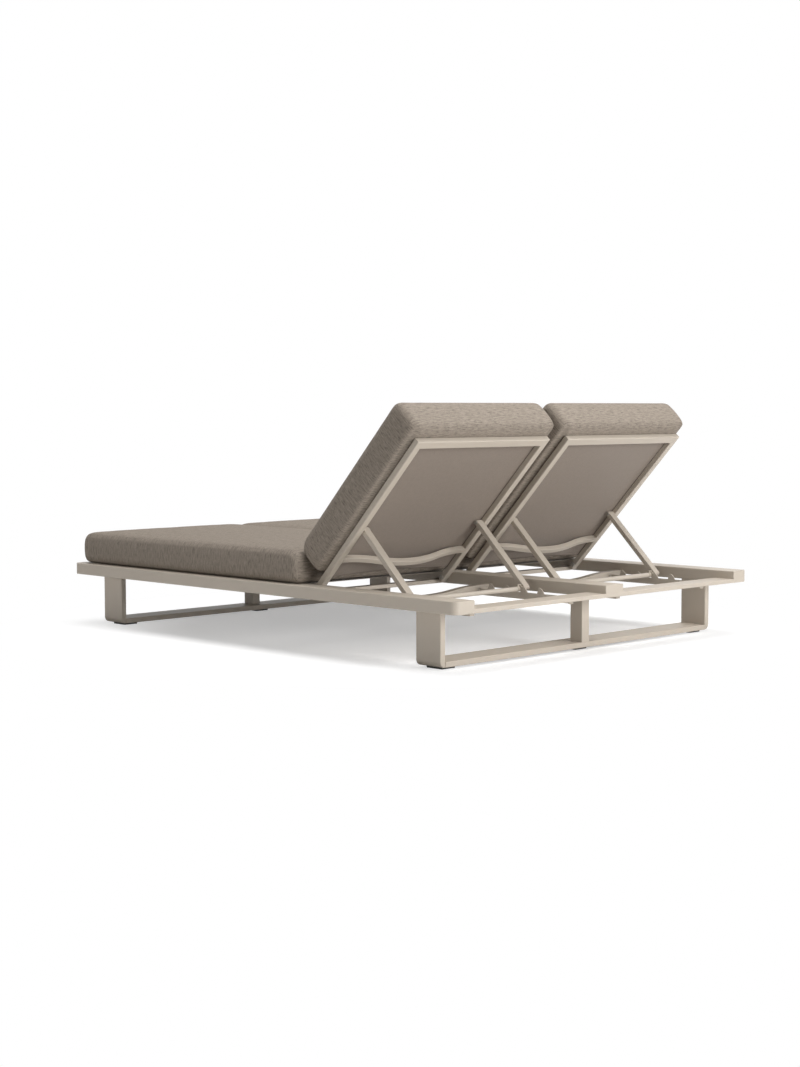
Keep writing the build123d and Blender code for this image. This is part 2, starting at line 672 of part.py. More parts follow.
    with BuildPart() as top_tube:
        top_section = Plane(
            origin=BACK.origin + BACK.y_dir * (TOP_TUBE_LOWER + TOP_TUBE_HEIGHT / 2),
            x_dir=BACK.y_dir,
            z_dir=BACK.x_dir,
        )
        with BuildSketch(top_section.offset(TUBE_INNER_EDGE)) as section:
            RectangleRounded(TOP_TUBE_HEIGHT, TUBE_DEPTH, TUBE_EDGE)
            Rectangle(TOP_TUBE_HEIGHT - TUBE_WALL * 2, TUBE_DEPTH - TUBE_WALL * 2, mode=Mode.SUBTRACT)
        extrude(section.sketch, amount=TUBE_OUTER_EDGE - TUBE_INNER_EDGE)
        with BuildSketch(BACK.offset(-TUBE_DEPTH)) as mitre:
            with BuildLine():
                Polyline(
                    (TUBE_INNER_EDGE, TUBE_TOP_REACH),
                    (SLING_INNER, TOP_TUBE_LOWER),
                    (SLING_OUTER, TOP_TUBE_LOWER),
                    (TUBE_OUTER_EDGE, TUBE_TOP_REACH),
                    close=True,
                )
            make_face()
        extrude(mitre.sketch, amount=TUBE_DEPTH * 2, mode=Mode.INTERSECT)
        if mirrored:
            mirror(about=Plane.YZ, mode=Mode.REPLACE)
    save(top_tube, f"back_{hand}_top")

    # Bowed bar across the rear of the backrest
    with BuildPart() as bow:
        lines = bowed_outline(SLING_INNER, SLING_OUTER, 0, -BOW_RISE, -TUBE_HALF, BOW_DEPTH)
        across = Plane(origin=BACK.origin, x_dir=BACK.x_dir, z_dir=-BACK.y_dir)
        with BuildSketch(across.offset(-(BOW_REACH - BOW_HEIGHT / 2))) as outline:
            make_face(lines.line.edges())
        extrude(outline.sketch, amount=-BOW_HEIGHT)
        fillet(edges().filter_by(GeomType.CIRCLE), BAR_EDGE)
        if mirrored:
            mirror(about=Plane.YZ, mode=Mode.REPLACE)
    save(bow, f"back_{hand}_bow")

    # Plugs in the lower ends of the side tubes
    with BuildPart() as tube_plugs:
        for edge_x, inward in ((TUBE_INNER_EDGE, 1), (TUBE_OUTER_EDGE, -1)):
            with BuildSketch(BACK_SECTION.offset(-TUBE_LOWER_REACH)) as section:
                with Locations((edge_x + inward * TUBE_WIDTH / 2, 0)):
                    Rectangle(
                        TUBE_WIDTH - (TUBE_WALL + PLUG_FIT) * 2,
                        TUBE_DEPTH - (TUBE_WALL + PLUG_FIT) * 2,
                    )
            extrude(section.sketch, amount=TUBE_PLUG_DEPTH)
        if mirrored:
            mirror(about=Plane.YZ, mode=Mode.REPLACE)
    save(tube_plugs, f"back_{hand}_tube_plugs")

    # Sling stretched between the side tubes, with an arched lower edge
    with BuildPart() as sling:
        with BuildSketch(BACK.offset(SLING_FRONT - SLING_THICKNESS)) as outline:
            with BuildLine():
                Line((SLING_INNER, SLING_FOOT), (SLING_INNER, TOP_TUBE_LOWER))
                Line((SLING_INNER, TOP_TUBE_LOWER), (SLING_OUTER, TOP_TUBE_LOWER))
                Line((SLING_OUTER, TOP_TUBE_LOWER), (SLING_OUTER, SLING_FOOT))
                ThreePointArc(
                    (SLING_OUTER, SLING_FOOT),
                    (BAY_MIDDLE, SLING_FOOT + SLING_FOOT_ARCH),
                    (SLING_INNER, SLING_FOOT),
                )
            make_face()
        extrude(outline.sketch, amount=SLING_THICKNESS)
        if mirrored:
            mirror(about=Plane.YZ, mode=Mode.REPLACE)
    save(sling, f"back_{hand}_sling")

    # Bolts that the prop hangs on, fixed in the side tubes
    with BuildPart() as prop_bolts:
        for face_x, inward in RAIL_FACES:
            root_x = face_x + inward * (SIDE_GAP + TUBE_WIDTH - TUBE_WALL)
            head_x = face_x + inward * (
                SIDE_GAP + TUBE_WIDTH + LEG_GAP + LEG_WIDTH + AXIAL_CLEARANCE
            )
            top_x = head_x + inward * PROP_HEAD_HEIGHT
            pin(min(root_x, head_x), max(root_x, head_x), PROP_PIVOT_Y, PROP_PIVOT_Z, PROP_BOLT)
            pin(min(top_x, head_x), max(top_x, head_x), PROP_PIVOT_Y, PROP_PIVOT_Z, PROP_HEAD)
        if mirrored:
            mirror(about=Plane.YZ, mode=Mode.REPLACE)
    save(prop_bolts, f"back_{hand}_prop_bolts")

    # Prop: two legs, the rod between them and a guide sleeve at each end
    for place, start_x in (
        ("inner", LEG_INNER),
        ("outer", BAY_MIDDLE * 2 - LEG_INNER - LEG_WIDTH),
    ):
        with BuildPart() as leg:
            prop_leg(start_x)
            if mirrored:
                mirror(about=Plane.YZ, mode=Mode.REPLACE)
        save(leg, f"prop_{hand}_leg_{place}")

    with BuildPart() as rod:
        pin(ROD_START, BAY_MIDDLE * 2 - ROD_START, ROD_Y, ROD_Z, ROD_DIAMETER)
        for plane_x, turn in RACKS:
            guide_slot(plane_x)
        if mirrored:
            mirror(about=Plane.YZ, mode=Mode.REPLACE)
    save(rod, f"prop_{hand}_rod")

    with BuildPart() as sleeves:
        for plane_x, turn in RACKS:
            sleeve(ROD_START if turn > 0 else BAY_MIDDLE * 2 - ROD_START, turn, plane_x)
        if mirrored:
            mirror(about=Plane.YZ, mode=Mode.REPLACE)
    save(sleeves, f"prop_{hand}_sleeves")

    # Racks
    for place, (plane_x, turn) in zip(("inner", "outer"), RACKS):
        with BuildPart() as rack_plate:
            rack(plane_x, turn)
            if mirrored:
                mirror(about=Plane.YZ, mode=Mode.REPLACE)
        save(rack_plate, f"rack_{hand}_{place}")

    # Back cushion
    with BuildPart() as back_cushion:
        cushion(
            BACK,
            BACK_CUSHION_INNER,
            BACK_CUSHION_OUTER,
            BACK_CUSHION_FOOT,
            BACK_CUSHION_HEAD,
            (BACK_CUSHION_UNDERSIDE, BACK_CUSHION_EDGE_FRONT, BACK_CUSHION_FRONT),
            (BACK_CUSHION_REAR_EDGE, BACK_CUSHION_EDGE),
            (CUSHION_MEETING_CORNER, BACK_CUSHION_CORNER),
        )
        cushion_margins()
        if mirrored:
            mirror(about=Plane.YZ, mode=Mode.REPLACE)
    save(back_cushion, f"back_cushion_{hand}")

# Centre rail, shared by both bays
with BuildPart() as centre_rail:
    bar_along_y(
        -CENTRE_RAIL_HALF, CENTRE_RAIL_HALF, -LENGTH / 2, LENGTH / 2, RAIL_BOTTOM, RAIL_TOP, RAIL_EDGE
    )
    block(
        -CENTRE_RAIL_HALF + RAIL_WALL,
        CENTRE_RAIL_HALF - RAIL_WALL,
        -LENGTH / 2,
        LENGTH / 2,
        RAIL_BOTTOM + RAIL_WALL,
        RAIL_TOP - RAIL_WALL,
        mode=Mode.SUBTRACT,
    )
    reach = CENTRE_RAIL_HALF + OVERRUN
    pin(-reach, reach, PIVOT_Y, PIVOT_Z, PIVOT_BOLT, mode=Mode.SUBTRACT)
save(centre_rail, "rail_centre")

# Plugs that close the ends of the three rails
with BuildPart() as plugs:
    rail_plugs(BAY_OUTER, HALF_WIDTH)
    trim_outer_rail_ends()
    mirror(about=Plane.YZ)
    rail_plugs(-CENTRE_RAIL_HALF, CENTRE_RAIL_HALF)
save(plugs, "rail_plugs")

# Bowed stretchers under the seat slings, one in each bay
for number in (1, 2):
    with BuildPart() as seat_stretcher:
        stretcher(FOOT_STRETCHER_INSET + SEAT_STRETCHER_PITCH * (number - 1) - LENGTH / 2)
        mirror(about=Plane.YZ)
    save(seat_stretcher, f"stretcher_seat_{number}")

# Backrest pivots: bolts from the side tubes into nuts behind the rail
# walls, and a washer in each gap
with BuildPart() as pivot_bolts:
    for face_x, inward in RAIL_FACES:
        head_x = face_x + inward * (SIDE_GAP + TUBE_WIDTH + AXIAL_CLEARANCE)
        nut_x = face_x - inward * (RAIL_WALL + PIVOT_NUT_HEIGHT)
        top_x = head_x + inward * PIVOT_HEAD_HEIGHT
        pin(min(nut_x, head_x), max(nut_x, head_x), PIVOT_Y, PIVOT_Z, PIVOT_BOLT)
        pin(min(top_x, head_x), max(top_x, head_x), PIVOT_Y, PIVOT_Z, PIVOT_HEAD)
    mirror(about=Plane.YZ)
save(pivot_bolts, "pivot_bolts")

with BuildPart() as pivot_nuts:
    for face_x, inward in RAIL_FACES:
        near_x = face_x - inward * RAIL_WALL
        far_x = near_x - inward * PIVOT_NUT_HEIGHT
        pin(min(near_x, far_x), max(near_x, far_x), PIVOT_Y, PIVOT_Z, PIVOT_NUT)
        pin(
            min(near_x, far_x) - OVERRUN,
            max(near_x, far_x) + OVERRUN,
            PIVOT_Y,
            PIVOT_Z,
            PIVOT_BOLT,
            mode=Mode.SUBTRACT,
        )
    mirror(about=Plane.YZ)
save(pivot_nuts, "pivot_nuts")

with BuildPart() as washers:
    for face_x, inward in RAIL_FACES:
        far_x = face_x + inward * (SIDE_GAP - AXIAL_CLEARANCE)
        pin(min(face_x, far_x), max(face_x, far_x), PIVOT_Y, PIVOT_Z, WASHER_DIAMETER)
        pin(
            min(face_x, far_x) - OVERRUN,
            max(face_x, far_x) + OVERRUN,
            PIVOT_Y,
            PIVOT_Z,
            PIVOT_BOLT,
            mode=Mode.SUBTRACT,
        )
    mirror(about=Plane.YZ)
save(washers, "pivot_washers")

# Screws of the racks
with BuildPart() as screws:
    for plane_x, turn in RACKS:
        rack_screws(plane_x, turn)
    mirror(about=Plane.YZ)
save(screws, "rack_screws")

# Ground bars of the sleds, with the upright under the centre rail
for sled, back, post_front in (
    ("head", HEAD_SLED_BACK, HEAD_SLED_BACK - CENTRE_POST_DEPTH),
    ("foot", FOOT_SLED_BACK, FOOT_SLED_BACK - SLED_DEPTH),
):
    with BuildPart() as sled_bar:
        bar_along_x(
            -BAY_OUTER, BAY_OUTER, back - SLED_DEPTH, back, SLED_BAR_BOTTOM, SLED_BAR_TOP, SLED_EDGE
        )
    save(sled_bar, f"sled_{sled}_bar")

    with BuildPart() as centre_post:
        bar_along_z(
            -CENTRE_POST_WIDTH / 2,
            CENTRE_POST_WIDTH / 2,
            post_front,
            post_front + CENTRE_POST_DEPTH,
            SLED_BAR_TOP,
            RAIL_BOTTOM,
            SLED_EDGE,
        )
    save(centre_post, f"sled_{sled}_post_centre")

# Glides under both sleds
with BuildPart() as glides:
    far_x = BAY_OUTER - GLIDE_INSET - GLIDE_WIDTH / 2
    for back in (HEAD_SLED_BACK, FOOT_SLED_BACK):
        middle_y = back - SLED_DEPTH / 2
        for middle_x in (-far_x, 0, far_x):
            bar_along_z(
                middle_x - GLIDE_WIDTH / 2,
                middle_x + GLIDE_WIDTH / 2,
                middle_y - GLIDE_DEPTH / 2,
                middle_y + GLIDE_DEPTH / 2,
                0,
                SLED_BAR_BOTTOM,
                GLIDE_EDGE,
            )
save(glides, "glides")
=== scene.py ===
import math
import bmesh
import bpy
from mathutils import Matrix, Vector


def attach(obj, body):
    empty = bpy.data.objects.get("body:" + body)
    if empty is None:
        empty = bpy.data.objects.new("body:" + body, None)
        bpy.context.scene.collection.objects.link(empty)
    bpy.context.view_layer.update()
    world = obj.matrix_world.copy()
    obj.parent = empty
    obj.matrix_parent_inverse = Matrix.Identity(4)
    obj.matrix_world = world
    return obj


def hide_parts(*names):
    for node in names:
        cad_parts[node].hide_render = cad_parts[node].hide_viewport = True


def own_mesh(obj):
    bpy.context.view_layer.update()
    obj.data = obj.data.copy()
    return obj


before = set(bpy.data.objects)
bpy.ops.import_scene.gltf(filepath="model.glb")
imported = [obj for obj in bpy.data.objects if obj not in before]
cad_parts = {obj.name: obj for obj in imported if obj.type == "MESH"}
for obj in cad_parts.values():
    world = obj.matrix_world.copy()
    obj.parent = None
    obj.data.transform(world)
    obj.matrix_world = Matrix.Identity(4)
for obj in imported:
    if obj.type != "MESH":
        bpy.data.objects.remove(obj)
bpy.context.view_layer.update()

scene = bpy.context.scene

# The viewpoint: standing off the head end of the lounger, to the sitter's
# left, with the eye about level with the top of the back cushions.
EYE = (4.78296, 4.75876, 0.82292)
EYE_TILT = math.radians(86.016)
EYE_TURN = math.radians(134.949)
EYE_ROLL = math.radians(0.005)
EYE_REACH = 100.0
FOCAL = 1811.29
PHOTO_HEIGHT = 1067.0
SENSOR_HEIGHT = 36.0

camera = bpy.data.cameras.new("viewpoint")
camera.sensor_fit = "VERTICAL"
camera.sensor_height = SENSOR_HEIGHT
camera.lens = FOCAL / PHOTO_HEIGHT * SENSOR_HEIGHT
camera.clip_end = EYE_REACH
viewpoint = bpy.data.objects.new("viewpoint", camera)
viewpoint.location = EYE
viewpoint.rotation_euler = (EYE_TILT, EYE_ROLL, EYE_TURN)
scene.collection.objects.link(viewpoint)
scene.camera = viewpoint

# The studio: a white floor that shows the shadow near the lounger and fades to
# plain white around it, a broad soft lamp low behind the head end, one
# overhead and a weak one at the side.
FLOOR_SIZE = 40.0
FLOOR_WHITE = (0.80, 0.80, 0.80, 1.0)
FLOOR_ROUGHNESS = 0.9
FLOOR_LIFT = 0.375
FADE_MIDDLE = (0.0, -0.02, 0.0)
FADE_START = 0.75
FADE_END = 1.5
WHITE = (1.0, 1.0, 1.0, 1.0)
WHITE_STRENGTH = 1.0
SURROUND_STRENGTH = 0.125
LAMPS = (
    ("head_lamp", (-0.5, 6.6, 1.5), (0.0, 0.4, 0.4), 3.6, 358.0),
    ("top_lamp", (-0.3, 0.35, 5.0), (0.0, 0.0, 0.2), 4.4, 308.0),
    ("side_lamp", (6.5, -0.5, 1.2), (0.0, 0.0, 0.3), 2.0, 46.0),
)

floor_mesh = bpy.data.meshes.new("floor")
form = bmesh.new()
bmesh.ops.create_grid(form, x_segments=1, y_segments=1, size=FLOOR_SIZE / 2)
form.to_mesh(floor_mesh)
form.free()
floor = bpy.data.objects.new("floor", floor_mesh)
scene.collection.objects.link(floor)

floor_paint = bpy.data.materials.new("white_floor")
floor_paint.use_nodes = True
nodes = floor_paint.node_tree.nodes
links = floor_paint.node_tree.links
shader = nodes["Principled BSDF"]
shader.inputs["Base Color"].default_value = FLOOR_WHITE
shader.inputs["Roughness"].default_value = FLOOR_ROUGHNESS
shader.inputs["Specular IOR Level"].default_value = 0.0
lift = nodes.new("ShaderNodeEmission")
lift.inputs["Strength"].default_value = FLOOR_LIFT
lit = nodes.new("ShaderNodeAddShader")
links.new(shader.outputs[0], lit.inputs[0])
links.new(lift.outputs[0], lit.inputs[1])
plain = nodes.new("ShaderNodeEmission")
plain.inputs["Strength"].default_value = WHITE_STRENGTH
spot = nodes.new("ShaderNodeTexCoord")
reach = nodes.new("ShaderNodeVectorMath")
reach.operation = "DISTANCE"
reach.inputs[1].default_value = FADE_MIDDLE
links.new(spot.outputs["Object"], reach.inputs[0])
fade = nodes.new("ShaderNodeMapRange")
fade.interpolation_type = "SMOOTHSTEP"
fade.inputs["From Min"].default_value = FADE_START
fade.inputs["From Max"].default_value = FADE_END
links.new(reach.outputs["Value"], fade.inputs["Value"])
seen_floor = nodes.new("ShaderNodeMixShader")
links.new(fade.outputs["Result"], seen_floor.inputs[0])
links.new(lit.outputs[0], seen_floor.inputs[1])
links.new(plain.outputs[0], seen_floor.inputs[2])
path = nodes.new("ShaderNodeLightPath")
pick = nodes.new("ShaderNodeMixShader")
links.new(path.outputs["Is Camera Ray"], pick.inputs[0])
links.new(shader.outputs[0], pick.inputs[1])
links.new(seen_floor.outputs[0], pick.inputs[2])
links.new(pick.outputs[0], nodes["Material Output"].inputs["Surface"])
floor_mesh.materials.append(floor_paint)

surround = bpy.data.worlds.new("white_surround")
surround.use_nodes = True
scene.world = surround
nodes = surround.node_tree.nodes
links = surround.node_tree.links
sky = nodes["Background"]
sky.inputs["Color"].default_value = WHITE
sky.inputs["Strength"].default_value = SURROUND_STRENGTH
backdrop = nodes.new("ShaderNodeBackground")
backdrop.inputs["Color"].default_value = WHITE
backdrop.inputs["Strength"].default_value = WHITE_STRENGTH
path = nodes.new("ShaderNodeLightPath")
mirrored_or_seen = nodes.new("ShaderNodeMath")
mirrored_or_seen.operation = "MAXIMUM"
links.new(path.outputs["Is Camera Ray"], mirrored_or_seen.inputs[0])
links.new(path.outputs["Is Glossy Ray"], mirrored_or_seen.inputs[1])
seen = nodes.new("ShaderNodeMixShader")
links.new(mirrored_or_seen.outputs[0], seen.inputs[0])
links.new(sky.outputs[0], seen.inputs[1])
links.new(backdrop.outputs[0], seen.inputs[2])
links.new(seen.outputs[0], nodes["World Output"].inputs["Surface"])

for name, place, target, size, power in LAMPS:
    lamp = bpy.data.lights.new(name, "AREA")
    lamp.shape = "SQUARE"
    lamp.size = size
    lamp.energy = power
    stand = bpy.data.objects.new(name, lamp)
    stand.location = place
    aim = Vector(target) - Vector(place)
    stand.rotation_euler = aim.to_track_quat("-Z", "Y").to_euler()
    scene.collection.objects.link(stand)

scene.view_settings.view_transform = "Standard"

# The frame's powder coat: a warm light taupe with a fine, even orange peel.
# It covers the rails, crossbars, stretchers, sled legs, racks, backrest tubes
# and prop legs, which are all welded or bolted aluminium.
COAT_COLOUR = (0.480, 0.423, 0.356, 1.0)
COAT_DARK = (0.440, 0.385, 0.320, 1.0)
COAT_ROUGHNESS = 0.46
COAT_SMOOTHER = 0.05
COAT_DULLER = 0.06
COAT_PEEL = 900.0
COAT_PEEL_DETAIL = 2.0
COAT_PEEL_SHARE = 0.35
COAT_CLOUD = 7.0
COAT_CLOUD_DETAIL = 4.0
COAT_CLOUD_SHARE = 0.55
COAT_BUMP = 0.12
COAT_RELIEF = 0.0003
MIX_SHARE = 0
MIX_FIRST = 6
MIX_SECOND = 7
MIX_COLOUR = 2


def socket(group, name, side, kind, value=None):
    made = group.interface.new_socket(name=name, in_out=side, socket_type=kind)
    if value is not None:
        made.default_value = value


def powder_coat_group():
    group = bpy.data.node_groups.new("powder_coat", "ShaderNodeTree")
    socket(group, "Colour", "INPUT", "NodeSocketColor", COAT_COLOUR)
    socket(group, "Shaded colour", "INPUT", "NodeSocketColor", COAT_DARK)
    socket(group, "Peel", "INPUT", "NodeSocketFloat", COAT_PEEL)
    socket(group, "Colour", "OUTPUT", "NodeSocketColor")
    socket(group, "Roughness", "OUTPUT", "NodeSocketFloat")
    socket(group, "Height", "OUTPUT", "NodeSocketFloat")
    nodes = group.nodes
    links = group.links
    given = nodes.new("NodeGroupInput")
    result = nodes.new("NodeGroupOutput")
    place = nodes.new("ShaderNodeTexCoord")
    cloud = nodes.new("ShaderNodeTexNoise")
    cloud.inputs["Scale"].default_value = COAT_CLOUD
    cloud.inputs["Detail"].default_value = COAT_CLOUD_DETAIL
    links.new(place.outputs["Object"], cloud.inputs["Vector"])
    peel = nodes.new("ShaderNodeTexNoise")
    peel.inputs["Detail"].default_value = COAT_PEEL_DETAIL
    links.new(place.outputs["Object"], peel.inputs["Vector"])
    links.new(given.outputs["Peel"], peel.inputs["Scale"])
    share = nodes.new("ShaderNodeMath")
    share.operation = "MULTIPLY_ADD"
    share.inputs[1].default_value = COAT_PEEL_SHARE
    links.new(peel.outputs["Fac"], share.inputs[0])
    half = nodes.new("ShaderNodeMath")
    half.operation = "MULTIPLY"
    half.inputs[1].default_value = COAT_CLOUD_SHARE
    links.new(cloud.outputs["Fac"], half.inputs[0])
    links.new(half.outputs[0], share.inputs[2])
    tone = nodes.new("ShaderNodeMix")
    tone.data_type = "RGBA"
    links.new(share.outputs[0], tone.inputs[MIX_SHARE])
    links.new(given.outputs["Colour"], tone.inputs[MIX_FIRST])
    links.new(given.outputs["Shaded colour"], tone.inputs[MIX_SECOND])
    links.new(tone.outputs[MIX_COLOUR], result.inputs["Colour"])
    gloss = nodes.new("ShaderNodeMapRange")
    gloss.inputs["To Min"].default_value = COAT_ROUGHNESS - COAT_SMOOTHER
    gloss.inputs["To Max"].default_value = COAT_ROUGHNESS + COAT_DULLER
    links.new(cloud.outputs["Fac"], gloss.inputs["Value"])
    links.new(gloss.outputs["Result"], result.inputs["Roughness"])
    links.new(peel.outputs["Fac"], result.inputs["Height"])
    return group


def coated_material(name, group, values, bump, distance, **sockets):
    material = bpy.data.materials.new(name)
    material.use_nodes = True
    nodes = material.node_tree.nodes
    links = material.node_tree.links
    shader = nodes["Principled BSDF"]
    for label, value in sockets.items():
        shader.inputs[label.replace("_", " ")].default_value = value
    finish = nodes.new("ShaderNodeGroup")
    finish.node_tree = group
    for label, value in values.items():
        finish.inputs[label].default_value = value
    relief = nodes.new("ShaderNodeBump")
    relief.inputs["Strength"].default_value = bump
    relief.inputs["Distance"].default_value = distance
    links.new(finish.outputs["Colour"], shader.inputs["Base Color"])
    links.new(finish.outputs["Roughness"], shader.inputs["Roughness"])
    links.new(finish.outputs["Height"], relief.inputs["Height"])
    links.new(relief.outputs["Normal"], shader.inputs["Normal"])
    return material


def dress(names, material):
    for name in names:
        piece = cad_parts[name]
        for place in piece.material_slots:
            place.material = material


powder_coat = powder_coat_group()
frame_coat = coated_material("taupe_powder_coat", powder_coat, {}, COAT_BUMP, COAT_RELIEF)
hands = ("left", "right")
coated = ["rail_left", "rail_right", "rail_centre", "rail_plugs", "stretcher_seat_1", "stretcher_seat_2"]
coated += [f"crossbar_{place}_{hand}" for place in ("head", "foot", "seat") for hand in hands]
coated += [f"stretcher_rack_{hand}" for hand in hands]
sled_parts = ("bar", "post_left", "post_centre", "post_right")
coated += [f"sled_{end}_{part}" for end in ("head", "foot") for part in sled_parts]
coated += [f"rack_{hand}_{place}" for hand in hands for place in ("inner", "outer")]
coated += [f"back_{hand}_{part}" for hand in hands for part in ("side_inner", "side_outer", "top", "bow")]
coated += [f"prop_{hand}_leg_{place}" for hand in hands for place in ("inner", "outer")]
dress(coated, frame_coat)

# The props' rods: round aluminium tube with the frame's coat, a little lighter
# and smoother. Each carries the moulded guide sleeves of its prop.
ROD_COLOUR = (0.560, 0.505, 0.435, 1.0)
ROD_PEEL = 1400.0
ROD_BUMP = 0.08
ROD_RELIEF = 0.0002

rod_coat = coated_material(
    "rod_coat", powder_coat, {"Colour": ROD_COLOUR, "Peel": ROD_PEEL}, ROD_BUMP, ROD_RELIEF
)
dress([f"prop_{hand}_rod" for hand in hands], rod_coat)

# Moulded nylon: guide sleeves on the rods, tube plugs and pivot washers, in a
# taupe close to the coat.
NYLON_COLOUR = (0.430, 0.375, 0.305, 1.0)
NYLON_DARK = (0.380, 0.330, 0.270, 1.0)
NYLON_PEEL = 500.0
NYLON_BUMP = 0.05
NYLON_RELIEF = 0.0002

nylon = coated_material(
    "taupe_nylon",
    powder_coat,
    {"Colour": NYLON_COLOUR, "Shaded colour": NYLON_DARK, "Peel": NYLON_PEEL},
    NYLON_BUMP,
    NYLON_RELIEF,
)
dress([f"prop_{hand}_sleeves" for hand in hands], nylon)
dress([f"back_{hand}_tube_plugs" for hand in hands] + ["pivot_washers"], nylon)

# The glides: six black rubber pads under the sleds, dull and slightly grained.
# The lounger stands on them.
RUBBER_COLOUR = (0.030, 0.029, 0.028, 1.0)
RUBBER_DARK = (0.020, 0.020, 0.019, 1.0)
RUBBER_PEEL = 350.0
RUBBER_BUMP = 0.25
RUBBER_RELIEF = 0.0003

rubber = coated_material(
    "black_rubber",
    powder_coat,
    {"Colour": RUBBER_COLOUR, "Shaded colour": RUBBER_DARK, "Peel": RUBBER_PEEL},
    RUBBER_BUMP,
    RUBBER_RELIEF,
)
dress(["glides"], rubber)

# The bolts, nuts and rack screws: satin stainless steel with a very fine, even
# grain. They hold the backrests' hinges, the tops of the props and the racks.
STEEL_COLOUR = (0.42, 0.395, 0.36, 1.0)
STEEL_DARK = (0.33, 0.31, 0.28, 1.0)
STEEL_PEEL = 2200.0
STEEL_BUMP = 0.10
STEEL_RELIEF = 0.0001
STEEL_METALLIC = 0.85

steel = coated_material(
    "satin_steel",
    powder_coat,
    {"Colour": STEEL_COLOUR, "Shaded colour": STEEL_DARK, "Peel": STEEL_PEEL},
    STEEL_BUMP,
    STEEL_RELIEF,
    Metallic=STEEL_METALLIC,
)
dress([f"back_{hand}_prop_bolts" for hand in hands] + ["pivot_bolts", "pivot_nuts", "rack_screws"], steel)

# The slings: a close basket weave of coated yarn, stretched flat between the
# backrest tubes and between the rails, with painted shade in the gaps between
# the yarns. The backrest slings have a welt along their sides and head, and end
# in a hem in a shallow arch above the hinge.
PIVOT_Y = 0.2725
PIVOT_Z = 0.2132
BACK_TILT = math.radians(46.8)
SLING_INNER = 0.0755
SLING_OUTER = 0.6625
SLING_FOOT = 0.0456
SLING_HEAD = 0.6641
SLING_LEVEL = 0.0094
SLING_THICKNESS = 0.0010
SLING_ARCH = 0.012
ARCH_FACTOR = 4.0
SHEET_ACROSS = 24
SHEET_ALONG = 28
WELT_RADIUS = 0.0011
WELT_SIDES = 8
HEM_RADIUS = 0.0019
HEM_DROP = 0.0012
HEM_STEPS = 16
SLING_COLOUR = (0.226, 0.184, 0.150, 1.0)
# The sling's dark colour serves both the random darker slubs and the painted shade in the gaps between the
# yarns.
SLING_DARK_SLUB_AND_GAP_SHADE = (0.158, 0.128, 0.103, 1.0)
SLING_THREADS = 620.0
SLING_WAVER = 0.6
YARN_DETAIL = 1.0
THREADS_PER_WAVE = 3.0
SLING_SLUB = 60.0
SLING_SLUB_DETAIL = 5.0
SLING_SLUB_SHARE = 0.45
SLING_GAP_SHADE_SHARE = 0.45
SLING_DULL = 0.72
SLING_BRIGHT = 0.58
SLING_BUMP = 0.35
SLING_RELIEF = 0.0004
SLING_SHEEN = 0.1
WELT_COLOUR = (0.105, 0.088, 0.072, 1.0)
WELT_THREADS = 900.0
WELT_BUMP = 0.3
WELT_RELIEF = 0.0003
SEAT_SLING_INNER = 0.046
SEAT_SLING_OUTER = 0.692
SEAT_SLING_FOOT = -0.912
SEAT_SLING_HEAD = 0.247
SEAT_SLING_LEVEL = 0.2295
SEAT_SLING_THICKNESS = 0.0014

raised = Matrix.Translation((0.0, PIVOT_Y, PIVOT_Z)) @ Matrix.Rotation(BACK_TILT, 4, "X")


